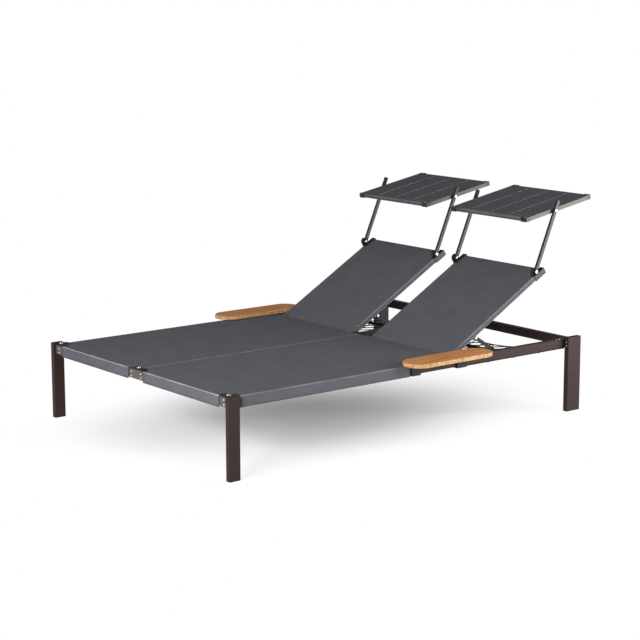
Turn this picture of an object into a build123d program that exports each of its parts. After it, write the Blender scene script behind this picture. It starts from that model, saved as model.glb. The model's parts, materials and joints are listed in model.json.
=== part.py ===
from build123d import *
from math import cos, hypot, radians, sin
import os

# Double chaise lounger. X runs across the bed, +Y from the foot to the head, Z up from the
# floor. Pieces are laid out from the middle of the bed, the right hand (+X) half first, and
# the finished model is moved along Y so that its origin is under the middle of its outline.

# Bed frame
bed_length = 2000.0
bed_width = 1400.0
bed_height = 350.0
leg_width = 26.0
foot_leg_depth = 54.0
head_leg_depth = 82.0
leg_wall = 2.0
leg_corner = 2.0
leg_rise = 10.0
rail_width = 30.0
rail_depth = 40.0
rail_wall = 2.0
rail_corner = 1.6
centre_gap = 42.0

# Plastic ends of the legs
glide_height = 5.0
glide_spigot = 14.0
glide_edge = 1.0
leg_cap_height = 3.0
leg_cap_spigot = 7.0
leg_cap_edge = 0.8

# Connectors that join the rails to each other and to the legs
connector_plate = 57.0
foot_arm = 58.0
head_arm = 104.0
connector_seam = 0.6
spigot_length = 28.0
spigot_fit = 0.25
tongue_drop = 3.0
slot_fit = 0.3

# Screws: the small head, its shank, and where the screws stand on the connectors
screw_head = 4.0
screw_head_height = 2.0
screw_head_edge = 0.9
screw_shank = 2.2
screw_length = 16.0
screw_hole = 2.4
screw_pitch = 19.0
corner_screw_inset = 26.0
top_screw_first = 75.0
top_screw_pitch = 19.0

# Caps over the foot connectors, each under one bright button
cap_height = 8.0
cap_edge = 1.5
cap_inset = 0.5
centre_cap_slope = 20.0
button_radius = 10.0
button_height = 3.0
button_edge = 1.2
button_stem = 3.0
button_inset = 17.0

# Seat fabric: a taut sheet turned down over the rails
fabric = 3.0
seat_seam = 0.75
seat_gap = 0.3
seat_edge_round = 2.6
seat_hem = 6.0
seam_hem = 14.0
seat_rear_y = 251.3
side_hem_end_y = -28.0
seat_inner_gap = 4.5
notch_gap = 0.6
rear_bar_width = 20.0
rear_bar_depth = 24.0
rear_bar_wall = 1.5

# Backrest: a fabric sleeve over a tube frame, hinged at its foot end
back_rest_angle = 30.0
back_max_angle = 65.0
back_inner_x = 70.5
back_width = 541.0
back_length = 657.0
back_thickness = 25.0
back_edge_round = 5.0
back_fabric = 1.5
back_tube_width = 22.0
back_tube_wall = 1.5
back_tube_fit = 0.3
hinge_y = 271.25
hinge_drop = 6.8
hinge_pin = 5.0
hinge_collar = 9.0
hinge_collar_gap = 0.5
hinge_grip = 18.0
hinge_plate = 7.0
hinge_plate_length = 34.0
hinge_plate_drop = 27.0
hinge_plate_edge = 4.0
hinge_eye = 11.0
hinge_stand = 4.5
hinge_block_width = 24.0
hinge_block_length = 30.0
pin_fit = 0.05
joint_gap = 0.3

# Prop that holds the backrest up, and the toothed racks that its foot bar rests on
prop_pivot_s = 165.0
prop_pivot_drop = 21.5
prop_length = 156.0
prop_follow = 1.078
prop_arm_width = 6.0
prop_arm_depth = 16.0
prop_arm_inset = 7.5
prop_bar = 8.25
prop_bar_end_gap = 5.0
prop_pin = 4.0
prop_pin_head = 6.5
prop_pin_head_height = 2.5
lug_thickness = 6.0
lug_round = 8.0
lug_base_width = 20.0
lug_base_length = 40.0
lug_base_height = 4.0
rack_width = 13.7
rack_drop = 4.0
rack_clearance = 0.6
rack_notch_depth = 4.0
rack_end = 14.0
rack_angles = (20.0, 30.0, 40.0, 50.0, 60.0)
notch_steep_share = 0.95
notch_floor_share = 0.35
notch_ramp_share = 1.45

# Arms between the backrest and its canopy, with their corner brackets and bolts. Both
# backrests are the same part: each left arm stands past its edge and each right arm inside
arm_width = 12.0
arm_depth = 16.0
arm_left_overhang = 7.9
arm_right_inset = 1.6
arm_drop = 45.0
arm_lift = 10.0
arm_span = 298.0
arm_tip = 47.0
arm_tip_edge = 3.0
arm_angle = 66.5
bracket_width = 26.0
bracket_length = 66.0
bracket_wall = 2.0
bracket_lid = 1.0
bracket_edge = 1.0
ear_width = 9.0
ear_round = 17.0
arm_bolt = 4.0
arm_bolt_head = 8.0
arm_bolt_head_height = 5.0
arm_bolt_head_edge = 3.5

# Canopy: a stitched sleeve between two side rails
canopy_tilt = 10.3
canopy_left_gap = 12.4
canopy_right_gap = 2.9
canopy_length = 425.0
canopy_thickness = 20.6
canopy_pivot = 178.0
canopy_rail = 10.0
canopy_sheet = 2.0
canopy_fabric = 1.5
canopy_seam_width = 3.0
canopy_seam_depth = 0.8
canopy_panels = 4
canopy_tube_fit = 0.3
canopy_tube_wall = 1.2
canopy_socket = 18.0
canopy_bolt = 3.0
canopy_bolt_head = 6.5
canopy_bolt_head_height = 3.5
canopy_bolt_head_edge = 1.5
canopy_spacer = 6.0
block_width = 36.0
block_length = 27.0
block_edge = 3.0
block_gap = 0.3
block_screw = 3.5
block_screw_height = 1.4
block_screw_stem = 1.6
block_screw_length = 1.3

# Side trays, which slide along the side rails
tray_width = 139.0
tray_length = 479.0
tray_thickness = 19.0
tray_edge = 4.0
tray_inner_x = 631.5
tray_foot_y = -70.0
tray_lift = 5.0
tray_slide_gap = 0.4
tray_bracket_wall = 7.6
tray_bracket_lip = 5.6
tray_bracket_lip_length = 17.0
tray_bracket_toe = 3.1
tray_bracket_toe_drop = 5.0
tray_bracket_toe_gap = 0.8
tray_bracket_edge = 4.0
tray_brackets_y = ((-21.0, 30.0), (242.0, 300.0))

# Storage net of elastic cord under the backrest
net_columns = 18
net_rows = 8
net_cord = 4.5
net_border = 5.0
net_thickness = 4.0
net_drop = 6.0
net_edge_inset = 5.0
net_foot_y = 300.0
net_middle_y = 748.0
net_corner_y = 936.0
hook_stem = 2.0
hook_flange = 4.5
hook_flange_height = 1.5
hook_fit = 0.2

# Levels and lines that several pieces share
rail_top = bed_height - leg_rise
rail_bottom = rail_top - rail_depth
half_width = bed_width / 2
leg_in = half_width - leg_width
side_out = leg_in
side_in = side_out - rail_width
centre_in = centre_gap / 2
centre_out = centre_in + rail_width
plate_in = side_out - connector_plate
plate_centre = connector_plate - notch_gap
foot_end = -bed_length / 2
head_end = bed_length / 2
foot_leg_y = (foot_end, foot_end + foot_leg_depth)
head_leg_y = (head_end - head_leg_depth, head_end)
foot_face = foot_end + (foot_leg_depth - rail_width) / 2
head_face = head_end - (head_leg_depth - rail_width) / 2
hinge_z = rail_top - hinge_drop
back_half = back_thickness / 2
back_outer_x = back_inner_x + back_width
unit_x = (back_inner_x + back_outer_x) / 2
arm_in = back_inner_x - arm_left_overhang
arm_out = back_outer_x - arm_right_inset - arm_width
canopy_in = arm_in + arm_width + canopy_left_gap
canopy_out = arm_out - canopy_right_gap
canopy_half = canopy_thickness / 2
toe_in = side_in - tray_slide_gap - tray_bracket_toe - tray_bracket_toe_gap
toe_bottom = rail_top - tray_bracket_toe_drop - tray_bracket_toe_gap


# A box between two opposite corners
def block(low, high):
    sizes = [abs(b - a) for a, b in zip(low, high)]
    middle = [(a + b) / 2 for a, b in zip(low, high)]
    return Pos(*middle) * Box(*sizes)


# Round bars along each of the three axes
def x_rod(x0, x1, y, z, radius):
    return Pos((x0 + x1) / 2, y, z) * Rot(0, 90, 0) * Cylinder(radius, abs(x1 - x0))


def y_rod(x, y0, y1, z, radius):
    return Pos(x, (y0 + y1) / 2, z) * Rot(90, 0, 0) * Cylinder(radius, abs(y1 - y0))


def z_rod(x, y, z0, z1, radius):
    return Pos(x, y, (z0 + z1) / 2) * Cylinder(radius, abs(z1 - z0))


# A box tube between two corners, low to high, with its bore along X (0), Y (1) or Z (2)
def box_tube(low, high, run, wall, corner):
    outer = block(low, high)
    outer = fillet(outer.edges().filter_by((Axis.X, Axis.Y, Axis.Z)[run]), corner)
    bore_low = [v if i == run else v + wall for i, v in enumerate(low)]
    bore_high = [v if i == run else v - wall for i, v in enumerate(high)]
    return outer - block(bore_low, bore_high)


# A prism along X from an outline in Y and Z, and one along Y from an outline in X and Z
def x_prism(points, x0, x1):
    outline = Plane.YZ * make_face(Polyline(*points, close=True))
    return Pos(x0, 0, 0) * extrude(outline, amount=x1 - x0, dir=(1, 0, 0))


def y_prism(points, y0, y1):
    outline = Plane.XZ * make_face(Polyline(*points, close=True))
    return Pos(0, y0, 0) * extrude(outline, amount=y1 - y0, dir=(0, 1, 0))


# A flat sleeve with half round ends, along Y, with its middle plane at Z = 0
def sleeve(x0, x1, y0, y1, half):
    outline = Pos((y0 + y1) / 2, 0) * SlotCenterToCenter(y1 - y0, 2 * half)
    return Pos(x0, 0, 0) * extrude(Plane.YZ * outline, amount=x1 - x0, dir=(1, 0, 0))


def to_left(shape):
    return mirror(shape, about=Plane.YZ)


def both_sides(shapes):
    return shapes + [to_left(shape) for shape in shapes]


# The left backrest and its canopy are the right ones moved across, not mirrored
def to_left_unit(shape):
    return Pos(-2 * unit_x, 0, 0) * shape


# A point given in a part that is tilted about X, seen from the point that it turns about
def turned(y, z, tilt):
    c, s = cos(radians(tilt)), sin(radians(tilt))
    return y * c - z * s, y * s + z * c


# Leg tube, with a slot in its inner wall for the tongue of the connector
def leg(y0, y1, tongue):
    low = (leg_in, y0, glide_height)
    high = (half_width, y1, bed_height - leg_cap_height)
    tube = box_tube(low, high, 2, leg_wall, leg_corner)
    slot = block(
        (leg_in, tongue[0] - slot_fit, rail_bottom + tongue_drop - slot_fit),
        (leg_in + leg_wall, tongue[1] + slot_fit, bed_height - leg_cap_height),
    )
    return tube - slot


# The screws that hold a leg go through its narrow wall that faces along the bed
def leg_screw_holes(y_wall, y_inside):
    return [y_rod(leg_in + leg_width / 2, y_wall, y_inside, z, screw_hole) for z in screw_heights()]


def screw_heights():
    middle = (rail_bottom + rail_top) / 2
    return middle - screw_pitch / 2 - leg_wall / 2, middle + screw_pitch / 2 - leg_wall / 2


def leg_plug(y0, y1, z_plate, z_open, spigot, edge):
    plate = block((leg_in, y0, z_plate), (half_width, y1, z_open))
    plate = fillet(plate.edges().filter_by(Axis.Z), leg_corner)
    rim = plate.faces().sort_by(Axis.Z)[0 if z_plate < z_open else -1].edges()
    plate = chamfer(rim, edge)
    inset = leg_wall + spigot_fit
    toward = 1 if z_plate < z_open else -1
    inner = block(
        (leg_in + inset, y0 + inset, z_open),
        (half_width - inset, y1 - inset, z_open + toward * spigot),
    )
    return plate + inner


# Where the tongue of a connector lies along Y inside its leg
def tongue_span(face, inward, leg_depth, end):
    inside = end + inward * (leg_depth - leg_wall - spigot_fit)
    return sorted((face, inside))


# Corner connector: an L under the corner of the bed, with spigots in both rails and a
# tongue in the leg
def corner_connector(face, inward, arm, leg_depth, end):
    back = face + inward * rail_width
    arm_end = face + inward * arm
    body = block((plate_in, face, rail_bottom), (side_out, back, rail_top))
    body += block((side_in, face, rail_bottom), (side_out, arm_end, rail_top))
    inset = rail_wall + spigot_fit
    low, high = rail_bottom + inset, rail_top - inset
    body += block(
        (plate_in - spigot_length, face + inward * inset, low),
        (plate_in, back - inward * inset, high),
    )
    body += block(
        (side_in + inset, arm_end, low),
        (side_out - inset, arm_end + inward * spigot_length, high),
    )
    tongue = tongue_span(face, inward, leg_depth, end)
    body += block(
        (side_out, tongue[0], rail_bottom + tongue_drop),
        (half_width - leg_wall - spigot_fit, tongue[1], rail_top - tongue_drop),
    )
    for z in screw_heights():
        body -= y_rod(side_out - corner_screw_inset, face, face + inward * screw_length, z, screw_hole)
        inside = end + inward * leg_depth
        body -= y_rod(leg_in + leg_width / 2, inside, inside - inward * screw_length, z, screw_hole)
    return body


# Centre connector: a bar across the ends of the two centre rails
def centre_connector(face, inward):
    back = face + inward * rail_width
    arm_end = face + inward * foot_arm
    body = block((-plate_centre, face, rail_bottom), (plate_centre, back, rail_top))
    inset = rail_wall + spigot_fit
    low, high = rail_bottom + inset, rail_top - inset
    for side in (-1, 1):
        body += block((side * centre_in, back, rail_bottom), (side * centre_out, arm_end, rail_top))
        body += block(
            (side * (centre_in + inset), arm_end, low),
            (side * (centre_out - inset), arm_end + inward * spigot_length, high),
        )
        body += block(
            (side * plate_centre, face + inward * inset, low),
            (side * (plate_centre + spigot_length), back - inward * inset, high),
        )
        for z in screw_heights():
            x = side * (centre_in + centre_out) / 2
            body -= y_rod(x, face, face + inward * screw_length, z, screw_hole)
    return body


def top_screw_places():
    first = head_face - top_screw_first
    return first, first - top_screw_pitch


# A pan head screw along +Z, its head above Z = 0
def screw():
    head = Pos(0, 0, screw_head_height / 2) * Cylinder(screw_head, screw_head_height)
    head = fillet(head.faces().sort_by(Axis.Z)[-1].edges(), screw_head_edge)
    return head + z_rod(0, 0, 0, -(screw_length - screw_head_height), screw_shank)


def button():
    head = Pos(0, 0, button_height / 2) * Cylinder(button_radius, button_height)
    head = fillet(head.faces().sort_by(Axis.Z)[-1].edges(), button_edge)
    return head + z_rod(0, 0, 0, -cap_height, button_stem)


def screw_on_y(x, y, z, outward):
    return Pos(x, y, z) * Rot(-90 * outward, 0, 0) * screw()


def connector_screws():
    right = []
    middle = []
    for z in screw_heights():
        for face, outward, end, depth in (
            (foot_face, -1, foot_end, foot_leg_depth),
            (head_face, 1, head_end, head_leg_depth),
        ):
            right.append(screw_on_y(side_out - corner_screw_inset, face, z, outward))
            wall = end - outward * depth
            right.append(screw_on_y(leg_in + leg_width / 2, wall, z, -outward))
            middle.append(screw_on_y((centre_in + centre_out) / 2, face, z, outward))
    for y in top_screw_places():
        right.append(Pos((side_in + side_out) / 2, y, rail_top) * screw())
    cap_top = rail_top + cap_height
    right.append(Pos(side_out - button_inset, foot_face + button_inset, cap_top) * button())
    middle_button = Pos(0, foot_face + rail_width / 2, cap_top) * button()
    return both_sides(right + middle) + [middle_button]


# Low plastic caps on the foot connectors
def corner_cap():
    low, high = rail_top, rail_top + cap_height
    cap = block(
        (plate_in + cap_inset, foot_face + cap_inset, low),
        (side_out - cap_inset, foot_face + rail_width - cap_inset, high),
    )
    cap += block(
        (side_in + cap_inset, foot_face + cap_inset, low),
        (side_out - cap_inset, foot_face + foot_arm - cap_inset, high),
    )
    cap = fillet(cap.faces().sort_by(Axis.Z)[-1].edges(), cap_edge)
    return cap - z_rod(side_out - button_inset, foot_face + button_inset, low, high, button_stem + pin_fit)


def centre_cap():
    low, high = rail_top, rail_top + cap_height
    wide = plate_centre - cap_inset
    top = wide - centre_cap_slope
    outline = [(-wide, low), (wide, low), (top, high), (-top, high)]
    cap = y_prism(outline, foot_face + cap_inset, foot_face + rail_width - cap_inset)
    return cap - z_rod(0, foot_face + rail_width / 2, low, high, button_stem + pin_fit)


# Seat fabric: a shallow open box turned over the rails, cut out at the connectors
def seat_fabric():
    low = rail_top + seat_gap
    top = low + fabric
    hem = rail_bottom - seat_hem
    front = foot_face - seat_gap - fabric
    side = side_out + seat_gap + fabric
    shell = block((seat_seam, front, hem), (side, seat_rear_y, top))
    rim = shell.faces().sort_by(Axis.Z)[-1].edges().sort_by(Axis.X)[1:]
    shell = fillet(rim, seat_edge_round)
    shell -= block(
        (seat_seam + fabric, front + fabric, hem), (side - fabric, seat_rear_y - fabric, low)
    )
    corner_x = plate_in - notch_gap
    corner_y = foot_face + rail_width + notch_gap
    shell -= block((corner_x, front, hem), (side, corner_y, top))
    shell -= block((side_in - notch_gap, front, hem), (side, foot_face + foot_arm + notch_gap, top))
    shell -= block((seat_seam, front, hem), (plate_centre + notch_gap, corner_y, top))
    shell -= block((side_in - seat_inner_gap, side_hem_end_y, hem), (side, seat_rear_y, top))
    shell -= block((seat_seam, front, hem), (seat_seam + fabric, seat_rear_y, top - seam_hem))
    rear_hem = rail_top - rear_bar_depth
    shell -= block((seat_seam, seat_rear_y - fabric, hem), (side, seat_rear_y, rear_hem))
    shell -= block((seat_seam + fabric, seat_rear_y - fabric, hem), (centre_out + seat_gap, seat_rear_y, low))
    return shell


def seat_rear_bar():
    y1 = seat_rear_y - fabric - seat_gap
    y0 = y1 - rear_bar_width
    low = (centre_out, y0, rail_top - rear_bar_depth)
    bar = box_tube(low, (side_in, y1, rail_top), 0, rear_bar_wall, rail_corner)
    return bar - block((toe_in, y0, toe_bottom), (side_in, y1, rail_top))


# Centre of the foot bar of the prop, in Y and Z, when the backrest stands at a tilt
def foot_bar_place(tilt):
    pivot_y, pivot_z = turned(prop_pivot_s, -prop_pivot_drop, tilt)
    reach_y, reach_z = turned(prop_length, 0, -prop_follow * tilt)
    return hinge_y + pivot_y + reach_y, hinge_z + pivot_z + reach_z


# Toothed rack: its straight tip line runs just under the path of the foot bar, with a
# notch under the bar at each of the recline angles, steep on the side that takes the load
def rack(x0, x1):
    steps = 12
    path = [foot_bar_place(back_max_angle * i / steps) for i in range(steps + 1)]
    y_flat, z_flat = path[0]
    y_up, z_up = path[-1]
    slope = (z_flat - z_up) / (y_flat - y_up)
    under = min(z - slope * y for y, z in path) - prop_bar - rack_clearance

    def tip(y):
        return slope * y + under

    floor = rail_bottom - rack_drop
    head, foot = y_flat + rack_end, y_up - rack_end
    outline = [(head, floor), (head, tip(head))]
    for angle in rack_angles:
        y = foot_bar_place(angle)[0]
        steep, flat, ramp = [share * prop_bar for share in (
            notch_steep_share, notch_floor_share, notch_ramp_share)]
        low = tip(y) - rack_notch_depth
        outline += [(y + steep, tip(y + steep)), (y + flat, low), (y - flat, low)]
        outline += [(y - ramp, tip(y - ramp))]
    outline += [(foot, tip(foot)), (foot, floor)]
    return x_prism(outline, x0, x1)


def racks():
    return [rack(centre_out, centre_out + rack_width), rack(side_in - rack_width, side_in)]


# Rail faces that carry the hinge brackets, with the way from each into the opening
hinge_rails = ((centre_out, 1, back_inner_x), (side_in, -1, back_outer_x))


# Hinge bracket: its plate stands off the rail on a low foot, which leaves room above it for
# the toe of a tray bracket, and has a round eye about the hinge axis
def hinge_bracket(rail, inward):
    near = rail + inward * hinge_stand
    far = near + inward * hinge_plate
    half = hinge_plate_length / 2
    low = hinge_z - hinge_plate_drop
    plate = block((near, hinge_y - half, low), (far, hinge_y + half, hinge_z))
    plate += block((rail, hinge_y - half, low), (near, hinge_y + half, toe_bottom))
    plate = fillet(plate.edges().filter_by(Axis.X).group_by(Axis.Z)[0], hinge_plate_edge)
    plate += x_rod(near, far, hinge_y, hinge_z, hinge_eye)
    return plate - x_rod(near, far, hinge_y, hinge_z, hinge_pin + pin_fit)


def hinge_brackets():
    return [hinge_bracket(rail, inward) for rail, inward, edge in hinge_rails]


# Shouldered pin from a bracket into the hinge block of the backrest
def hinge_pins():
    pins = []
    for rail, inward, edge in hinge_rails:
        near = rail + inward * hinge_stand
        shoulder = near + inward * hinge_plate
        pin = x_rod(near, edge + inward * hinge_grip, hinge_y, hinge_z, hinge_pin)
        pin += x_rod(shoulder, edge - inward * hinge_collar_gap, hinge_y, hinge_z, hinge_collar)
        pins.append(pin)
    return pins


# The backrest is built flat, from its hinge axis, and then tilted to its rest angle
def back_place():
    return Pos(0, hinge_y, hinge_z) * Rot(back_rest_angle, 0, 0)


def back_fabric_sleeve():
    block_in = back_inner_x + hinge_block_width + block_gap
    block_out = back_outer_x - hinge_block_width - block_gap
    wide_foot = hinge_block_length + block_gap
    wide_head = back_length - bracket_length - block_gap
    outer = sleeve(block_in, block_out, 0, back_length - back_half, back_half)
    panel = block((back_inner_x, wide_foot, -back_half), (back_outer_x, wide_head, back_half))
    outer += fillet(panel.edges().filter_by(Axis.Y), back_edge_round)
    bore_half = back_half - back_fabric
    bore = sleeve(block_in, block_out, 0, back_length - back_half, bore_half)
    bore += block(
        (back_inner_x + back_fabric, wide_foot, -bore_half),
        (back_outer_x - back_fabric, wide_head, bore_half),
    )
    return back_place() * (outer - bore)


def back_frame():
    half = back_half - back_fabric - back_tube_fit
    first = back_inner_x + back_fabric + back_tube_fit
    foot = hinge_block_length + block_gap
    head = back_length - bracket_length - block_gap
    tubes = []
    for x in (first, back_outer_x - back_fabric - back_tube_fit - back_tube_width):
        low = (x, foot, -half)
        high = (x + back_tube_width, head, half)
        tubes.append(box_tube(low, high, 1, back_tube_wall, rail_corner))
    inner = back_inner_x + hinge_block_width + block_gap
    outer = back_outer_x - hinge_block_width - block_gap
    for y in (0, back_length - back_half):
        tube = x_rod(inner, outer, y, 0, half) - x_rod(inner, outer, y, 0, half - back_tube_wall)
        tubes.append(tube)
    brace_in = first + back_tube_width
    brace_out = back_outer_x - brace_in + back_inner_x
    brace = x_rod(brace_in, brace_out, prop_pivot_s, 0, half)
    tubes.append(brace - x_rod(brace_in, brace_out, prop_pivot_s, 0, half - back_tube_wall))
    return [back_place() * tube for tube in tubes]


# Spigot that enters the end of a backrest side tube, from y along the tube
def back_spigot(x0, x1, y, toward):
    inset = back_tube_wall + spigot_fit
    half = back_half - back_fabric - back_tube_fit - inset
    return block((x0 + inset, y, -half), (x1 - inset, y + toward * spigot_length, half))


def tube_span(inner):
    first = back_inner_x + back_fabric + back_tube_fit
    if inner:
        return first, first + back_tube_width
    last = back_outer_x - back_fabric - back_tube_fit
    return last - back_tube_width, last


def hinge_blocks():
    blocks = []
    for inner in (True, False):
        face = back_inner_x if inner else back_outer_x
        toward = 1 if inner else -1
        x0, x1 = sorted((face, face + toward * hinge_block_width))
        body = block((x0, 0, -back_half), (x1, hinge_block_length, back_half))
        body += x_rod(x0, x1, 0, 0, back_half)
        body += back_spigot(*tube_span(inner), hinge_block_length, 1)
        body -= x_rod(face, face + toward * (hinge_grip + joint_gap), 0, 0, hinge_pin + pin_fit)
        blocks.append(back_place() * body)
    return blocks


# Corner bracket: a cap on the corner of the backrest with an ear for the arm bolt, which
# stands on the left of its arm at both corners
def corner_bracket(x0, x1, arm_x):
    foot = back_length - bracket_length
    low = -back_half - bracket_wall
    high = back_half + bracket_lid
    cap = block((x0, foot, low), (x1, back_length + bracket_wall, high))
    cap = fillet(cap.edges().filter_by(Axis.Y), bracket_edge)
    y = back_length - arm_drop
    z = back_half + arm_lift
    ear_x0, ear_x1 = arm_x - joint_gap - ear_width, arm_x - joint_gap
    cap += block((ear_x0, y - ear_round, low), (max(x0, ear_x1), y + ear_round, back_half))
    cap += block((ear_x0, y - ear_round, low), (ear_x1, y + ear_round, z))
    cap += x_rod(ear_x0, ear_x1, y, z, ear_round)
    return cap - x_rod(ear_x0, ear_x1, y, z, arm_bolt + pin_fit)


def corner_brackets():
    foot = back_length - bracket_length
    brackets = []
    for arm_x, x0, inner in (
        (arm_in, back_inner_x - bracket_wall, True),
        (arm_out, back_outer_x + bracket_wall - bracket_width, False),
    ):
        body = corner_bracket(x0, x0 + bracket_width, arm_x)
        brackets.append(back_place() * (body + back_spigot(*tube_span(inner), foot, -1)))
    return brackets


# Bolt through an arm and its ear, with its domed head on the right of the arm
def arm_bolts():
    bolts = []
    y, z = back_length - arm_drop, back_half + arm_lift
    for arm_x in (arm_in, arm_out):
        seat = arm_x + arm_width + joint_gap
        head = x_rod(seat, seat + arm_bolt_head_height, y, z, arm_bolt_head)
        head = fillet(head.faces().sort_by(Axis.X)[-1].edges(), arm_bolt_head_edge)
        shank = x_rod(arm_x - joint_gap - ear_width, seat, y, z, arm_bolt)
        bolts.append(back_place() * (head + shank))
    return bolts


# Left faces of the prop arms, of the lugs beside them and of the lug bases
def prop_faces():
    inner = back_inner_x + prop_arm_inset
    outer = back_outer_x - prop_arm_inset - prop_arm_width
    lug_inner = inner + prop_arm_width + joint_gap
    lug_outer = outer - joint_gap - lug_thickness
    return (inner, lug_inner, lug_inner), (outer, lug_outer, lug_outer + lug_thickness - lug_base_width)


# Lugs under the backrest and the headed pins that the prop turns on
def prop_pivots():
    pieces = []
    low = -back_half - joint_gap
    for arm_x, lug_x, base_x in prop_faces():
        y0, y1 = prop_pivot_s - lug_base_length / 2, prop_pivot_s + lug_base_length / 2
        lug = block((base_x, y0, low - lug_base_height), (base_x + lug_base_width, y1, low))
        lug += block(
            (lug_x, prop_pivot_s - lug_round, -prop_pivot_drop),
            (lug_x + lug_thickness, prop_pivot_s + lug_round, low),
        )
        lug += x_rod(lug_x, lug_x + lug_thickness, prop_pivot_s, -prop_pivot_drop, lug_round)
        lug -= x_rod(lug_x, lug_x + lug_thickness, prop_pivot_s, -prop_pivot_drop, prop_pin + pin_fit)
        outward = -1 if arm_x < lug_x else 1
        far = lug_x + lug_thickness if outward < 0 else lug_x
        near = arm_x - joint_gap if outward < 0 else arm_x + prop_arm_width + joint_gap
        pin = x_rod(far, near, prop_pivot_s, -prop_pivot_drop, prop_pin)
        head_end = near + outward * prop_pin_head_height
        pin += x_rod(near, head_end, prop_pivot_s, -prop_pivot_drop, prop_pin_head)
        pieces += [back_place() * lug, back_place() * pin]
    return pieces


# Prop: two flat arms and the foot bar welded through them
def prop():
    pivot_y, pivot_z = turned(prop_pivot_s, -prop_pivot_drop, back_rest_angle)
    place = Pos(0, hinge_y + pivot_y, hinge_z + pivot_z) * Rot(-prop_follow * back_rest_angle, 0, 0)
    half = prop_arm_depth / 2
    body = x_rod(centre_out + prop_bar_end_gap, side_in - prop_bar_end_gap, prop_length, 0, prop_bar)
    for arm_x, lug_x, base_x in prop_faces():
        arm_end = arm_x + prop_arm_width
        body += block((arm_x, 0, -half), (arm_end, prop_length, half))
        body += x_rod(arm_x, arm_end, 0, 0, half)
        body -= x_rod(arm_x, arm_end, 0, 0, prop_pin + pin_fit)
    return place * body


# Lower and upper pivots of the arms, in Y and Z
def arm_pivot():
    y, z = turned(back_length - arm_drop, back_half + arm_lift, back_rest_angle)
    return hinge_y + y, hinge_z + z


def canopy_pivot_place():
    y, z = arm_pivot()
    dy, dz = turned(arm_span, 0, arm_angle)
    return y + dy, z + dz


def arms():
    y, z = arm_pivot()
    place = Pos(0, y, z) * Rot(arm_angle, 0, 0)
    half = arm_depth / 2
    pieces = []
    for x0 in (arm_in, arm_out):
        x1 = x0 + arm_width
        bar = block((x0, 0, -half), (x1, arm_span + arm_tip, half))
        tip_corners = bar.edges().filter_by(Axis.X).group_by(Axis.Y)[-1]
        bar = fillet(tip_corners, arm_tip_edge)
        bar += x_rod(x0, x1, 0, 0, half)
        bar -= x_rod(x0, x1, 0, 0, arm_bolt + pin_fit)
        bar -= x_rod(x0, x1, arm_span, 0, canopy_bolt + pin_fit)
        pieces.append(place * bar)
    return pieces


# The canopy is built level about its pivot axis and then tilted
def canopy_place():
    y, z = canopy_pivot_place()
    return Pos(0, y, z) * Rot(canopy_tilt, 0, 0)


def canopy_ends():
    return -canopy_pivot, canopy_length - canopy_pivot


def canopy_fabric_sleeve():
    front, rear = canopy_ends()
    nose_in = canopy_in + block_width + block_gap
    nose_out = canopy_out - block_width - block_gap
    side_low = canopy_in + canopy_rail + block_gap
    side_high = canopy_out - canopy_rail - block_gap
    wide_front = front + block_length + block_gap
    wide_rear = rear - block_length - block_gap
    half = canopy_half
    outer = sleeve(nose_in, nose_out, front + half, rear - half, half)
    outer += block((side_low, wide_front, -half), (side_high, wide_rear, half))
    outer += block((canopy_in, wide_front, half - canopy_sheet), (canopy_out, wide_rear, half))
    bore_half = half - canopy_fabric
    bore = sleeve(nose_in, nose_out, front + half, rear - half, bore_half)
    bore += block(
        (side_low + canopy_fabric, wide_front + canopy_fabric, -bore_half),
        (side_high - canopy_fabric, wide_rear - canopy_fabric, bore_half),
    )
    body = outer - bore
    panel = (canopy_out - canopy_in) / canopy_panels
    for i in range(1, canopy_panels):
        x = canopy_in + panel * i
        groove = canopy_seam_width / 2
        body -= block((x - groove, wide_front, half - canopy_seam_depth), (x + groove, wide_rear, half))
    return canopy_place() * body


def canopy_frame():
    front, rear = canopy_ends()
    pieces = []
    wide_front = front + block_length
    wide_rear = rear - block_length
    for x0 in (canopy_in, canopy_out - canopy_rail):
        x1 = x0 + canopy_rail
        rail = block((x0, wide_front, -canopy_half), (x1, wide_rear, canopy_half - canopy_sheet - block_gap))
        rail -= x_rod(x0, x1, 0, 0, canopy_bolt + pin_fit)
        pieces.append(rail)
    radius = canopy_half - canopy_fabric - canopy_tube_fit
    x0 = canopy_in + block_width - canopy_socket
    x1 = canopy_out - block_width + canopy_socket
    for y in (front + canopy_half, rear - canopy_half):
        tube = x_rod(x0, x1, y, 0, radius) - x_rod(x0, x1, y, 0, radius - canopy_tube_wall)
        pieces.append(tube)
    return [canopy_place() * piece for piece in pieces]


# Screw on the top of a corner block, above its tube
def block_screw_places():
    front, rear = canopy_ends()
    xs = (canopy_in + block_width / 2, canopy_out - block_width / 2)
    return [(x, y) for x in xs for y in (front + canopy_half, rear - canopy_half)]


def corner_blocks():
    front, rear = canopy_ends()
    radius = canopy_half - canopy_fabric - canopy_tube_fit + pin_fit
    pieces = []
    for x0, x1, mouth in (
        (canopy_in, canopy_in + block_width, 1),
        (canopy_out - block_width, canopy_out, -1),
    ):
        for y0, y1, end in ((front, front + block_length, 1), (rear - block_length, rear, -1)):
            body = block((x0, y0, -canopy_half), (x1, y1, canopy_half))
            corner = body.edges().filter_by(Axis.Z).sort_by(Axis.X)
            outside = corner[:2] if mouth > 0 else corner[2:]
            edge = outside.sort_by(Axis.Y)[0 if end > 0 else -1]
            body = fillet(edge, block_edge)
            open_x = x1 if mouth > 0 else x0
            y = front + canopy_half if end > 0 else rear - canopy_half
            body -= x_rod(open_x, open_x - mouth * canopy_socket, y, 0, radius)
            stem = block_screw_stem + pin_fit
            body -= z_rod((x0 + x1) / 2, y, canopy_half - block_screw_length, canopy_half, stem)
            pieces.append(canopy_place() * body)
    return pieces


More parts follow.
